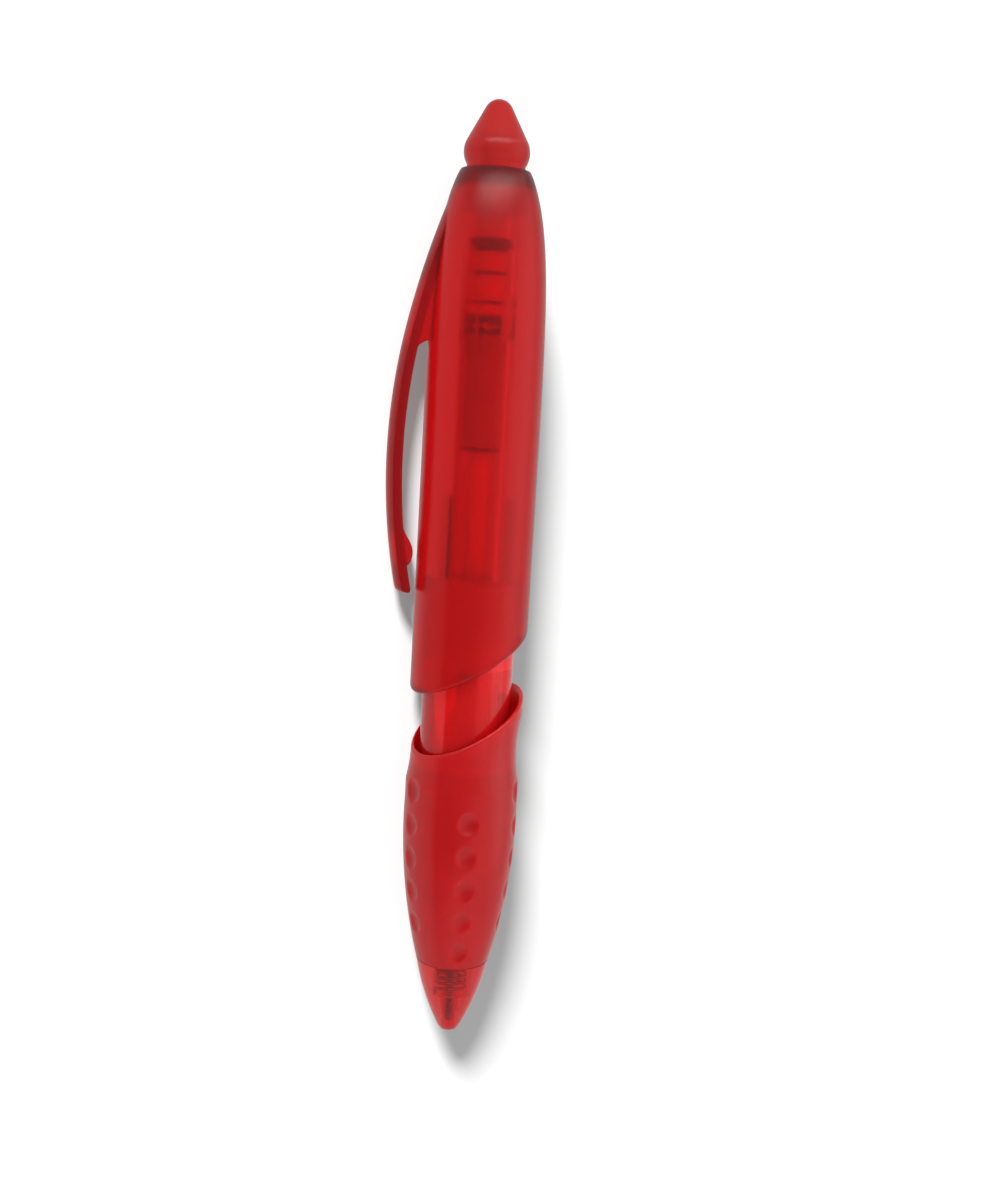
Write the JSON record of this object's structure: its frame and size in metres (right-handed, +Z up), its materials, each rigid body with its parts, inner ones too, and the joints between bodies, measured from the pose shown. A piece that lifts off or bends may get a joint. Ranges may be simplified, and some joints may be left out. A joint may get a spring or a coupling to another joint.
{
  "type": "retractable ballpoint pen",
  "caption": "Translucent click ballpoint pen with a moulded pocket clip, dimpled rubber grip, sprung refill and cone-shaped push button.",
  "frame": {"origin": "middle of the lying pen's box, on the table", "axes": "+Y along the pen from the nose to the button, +Z up from the table, the clip towards -X"},
  "size_m": [0.0196, 0.1301, 0.016],
  "materials": {
    "frosted_plastic": "frosted translucent",
    "button_plastic": "satin translucent",
    "mechanism_plastic": "satin",
    "clear_plastic": "clear gloss",
    "grip_rubber": "matt translucent",
    "spring_steel": "drawn wire",
    "refill_plastic": "clear",
    "ink": "wet",
    "point_brass": "turned",
    "ball_steel": "polished"
  },
  "bodies": {
    "barrel": {"upper_barrel": "frosted_plastic", "lower_barrel": "clear_plastic", "grip_sleeve": "grip_rubber", "return_spring": "spring_steel"},
    "button": {"push_button": "button_plastic", "plunger": "mechanism_plastic"},
    "refill": {"refill_tube": "refill_plastic", "ink_column": "ink", "refill_point": "point_brass"},
    "rotor": {"rotor_cam": "mechanism_plastic"},
    "ball": {"writing_ball": "ball_steel"}
  },
  "joints": [
    {"name": "button_press", "type": "slide", "parent": "barrel", "child": "button", "axis": [0, -1, 0], "range_m": [0, 0.0055], "stiffness_N_per_m": 350, "springref_m": -0.004},
    {"name": "refill_advance", "type": "slide", "parent": "barrel", "child": "refill", "axis": [0, -1, 0], "range_m": [0, 0.0055], "deforming": ["return_spring"]},
    {"name": "rotor_index", "type": "hinge", "parent": "refill", "child": "rotor", "pos_m": [0.00183, 0.025, 0.008], "axis": [0, 1, 0], "range_deg": [0, 45]},
    {"name": "ball_roll", "type": "hinge", "parent": "refill", "child": "ball", "pos_m": [0.00183, -0.06305, 0.008], "axis": [1, 0, 0], "continuous": true}
  ],
  "couplings": [
    {"joint": "refill_advance", "follows": "button_press", "ratio": 1},
    {"joint": "rotor_index", "follows": "button_press", "rad_per_m": 142.79}
  ]
}
